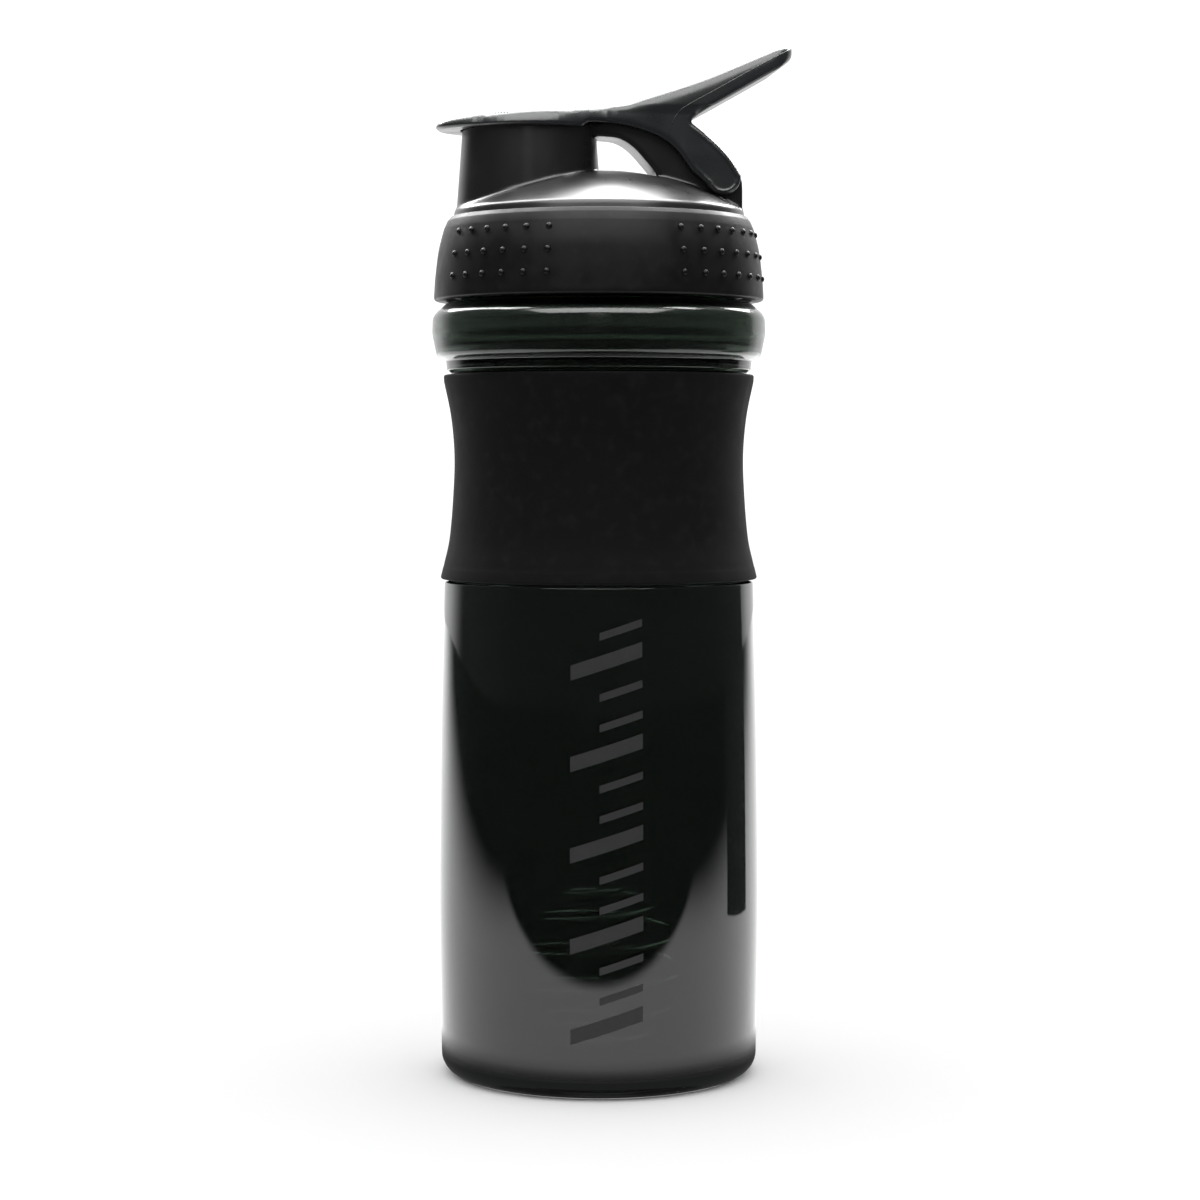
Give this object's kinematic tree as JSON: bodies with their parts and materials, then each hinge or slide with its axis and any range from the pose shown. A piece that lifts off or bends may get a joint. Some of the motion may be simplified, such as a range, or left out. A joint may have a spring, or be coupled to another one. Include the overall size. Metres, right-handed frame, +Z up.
{
  "type": "protein shaker bottle",
  "caption": "Smoked plastic shaker bottle with a soft waisted sleeve, a screw lid with carry loop, a hinged flip cap over the spout and a loose wire whisk ball.",
  "frame": {"origin": "centre of the base, on the plane the bottle stands on", "axes": "+Z up along the bottle's axis; -X towards the spout and the cap's front lip; +X towards the hinge and the thumb tab"},
  "size_m": [0.0888, 0.0824, 0.2542],
  "materials": {
    "smoke_plastic": "smooth, glossy, translucent smoke grey",
    "silicone": "matte, slightly powdery",
    "gasket_rubber": "smooth, soft",
    "lid_plastic": "satin to gloss moulded plastic",
    "band_rubber": "satin with raised dots",
    "cap_plastic": "satin moulded plastic",
    "plug_rubber": "smooth, soft",
    "whisk_steel": "bright electropolished stainless wire"
  },
  "bodies": {
    "bottle": {"bottle_body": "smoke_plastic", "grip_sleeve": "silicone"},
    "lid_carrier": {"lid_gasket": "gasket_rubber"},
    "lid": {"lid_shell": "lid_plastic", "grip_band": "band_rubber"},
    "cap": {"flip_cap": "cap_plastic", "spout_plug": "plug_rubber"},
    "whisk": {"whisk_ball": "whisk_steel"}
  },
  "joints": [
    {"name": "lid_lift", "type": "slide", "parent": "bottle", "child": "lid_carrier", "axis": [0, 0, 1], "range_m": [0, 0.03]},
    {"name": "lid_twist", "type": "hinge", "parent": "lid_carrier", "child": "lid", "pos_m": [0, 0, 0.2], "axis": [0, 0, 1], "range_deg": [0, 1080]},
    {"name": "flip_cap_hinge", "type": "hinge", "parent": "lid", "child": "cap", "pos_m": [0.0297, 0, 0.2212], "axis": [0, 1, 0], "range_deg": [0, 115]},
    {"name": "whisk_slide", "type": "slide", "parent": "bottle", "child": "whisk", "axis": [0, 0, 1], "range_m": [0, 0.12]}
  ],
  "couplings": [
    {"joint": "lid_lift", "follows": "lid_twist", "m_per_rad": 0.0015915}
  ]
}
